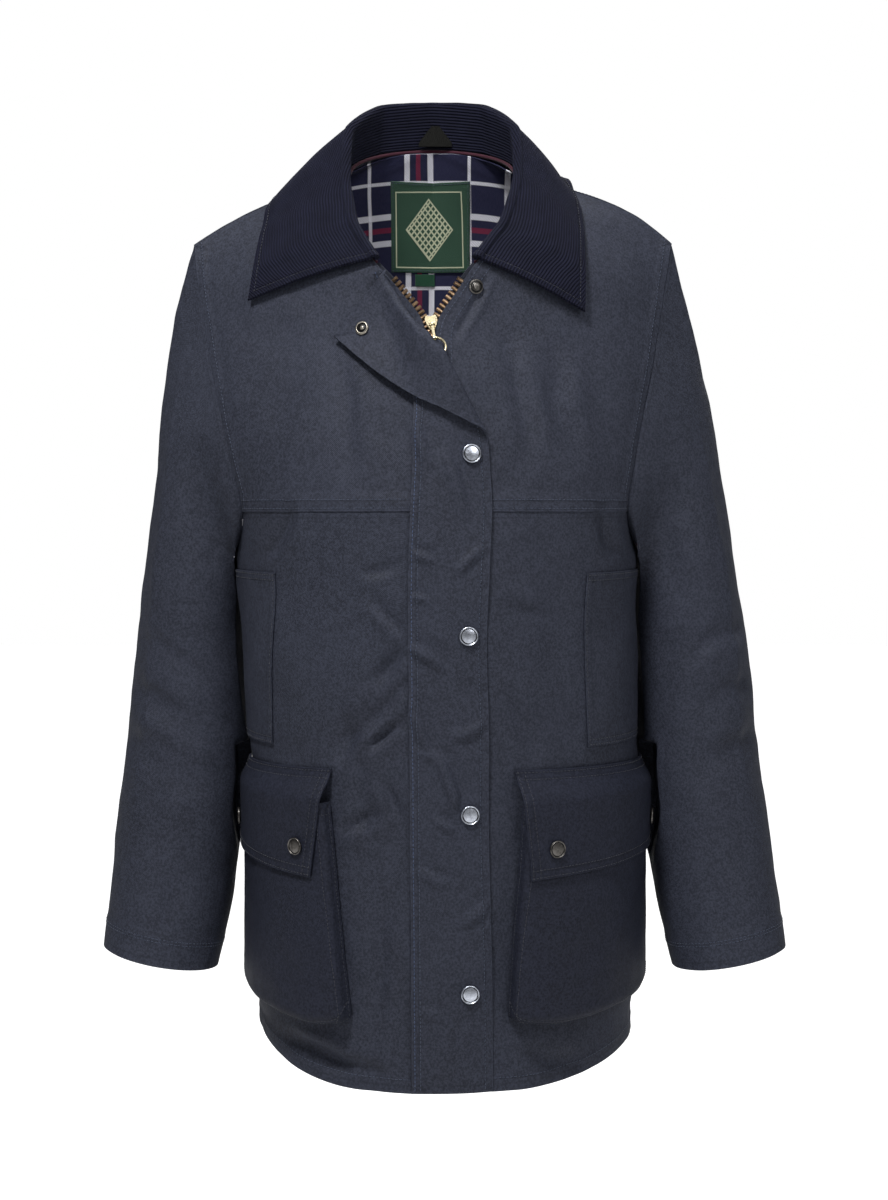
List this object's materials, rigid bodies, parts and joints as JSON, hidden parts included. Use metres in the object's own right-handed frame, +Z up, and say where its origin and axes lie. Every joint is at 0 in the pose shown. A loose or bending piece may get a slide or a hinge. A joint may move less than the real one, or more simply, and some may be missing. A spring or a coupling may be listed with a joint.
{
  "type": "waxed cotton jacket",
  "caption": "Hip-length waxed cotton jacket, hollow and shaped as worn, with a corduroy collar, a storm flap over its zip and bellows pockets.",
  "frame": {"origin": "between the shoulders, at the height of the back of the neck, where the wearer's shoulders carry the jacket", "axes": "+Z up, -Y the front, +X the wearer's left"},
  "size_m": [0.576, 0.2824, 0.8131],
  "materials": {
    "wax": "waxed cotton, near-black navy, faint sheen",
    "pocket_wax": "waxed cotton, slightly bluer",
    "corduroy": "dark navy needlecord",
    "lining": "navy cotton woven with a white and red check",
    "label": "green woven cloth, no printing",
    "loop": "dark olive woven tape",
    "tape": "black woven zip tape",
    "gold": "pale gold plate",
    "steel": "pewter press studs"
  },
  "bodies": {
    "jacket": {"back": "wax", "back_lining": "lining", "collar": "corduroy", "front_left": "wax", "front_right": "wax", "front_yoke_left": "wax", "front_yoke_right": "wax", "handwarmer_left": "wax", "handwarmer_right": "wax", "hanger_loop": "loop", "neck_label": "label", "pocket_flap_left": "pocket_wax", "pocket_flap_right": "pocket_wax", "pocket_left": "pocket_wax", "pocket_right": "pocket_wax", "size_tab": "label", "sleeve_left": "wax", "sleeve_right": "wax", "storm_flap": "wax", "stud_front_1": "steel", "stud_front_2": "steel", "stud_front_3": "steel", "stud_front_4": "steel", "stud_pocket_left_front": "steel", "stud_pocket_left_side": "steel", "stud_pocket_right_front": "steel", "stud_pocket_right_side": "steel", "stud_top_cap": "steel", "stud_top_post": "steel", "stud_top_socket": "steel", "zip_slider": "gold", "zip_tape_left": "tape", "zip_tape_right": "tape"},
    "pull_tab": {"zip_pull_tab": "gold"},
    "pull_ring": {"zip_pull_ring": "gold"}
  },
  "joints": [
    {"name": "pull_tab_swing", "type": "hinge", "parent": "jacket", "child": "pull_tab", "pos_m": [-0.0095, -0.12, -0.1144], "axis": [-0.9867, -0.0478, -0.1554], "range_deg": [0, 5]},
    {"name": "pull_ring_swing", "type": "hinge", "parent": "pull_tab", "child": "pull_ring", "pos_m": [-0.0076, -0.1237, -0.1256], "axis": [-0.9867, -0.0478, -0.1554], "range_deg": [0, 6]}
  ]
}
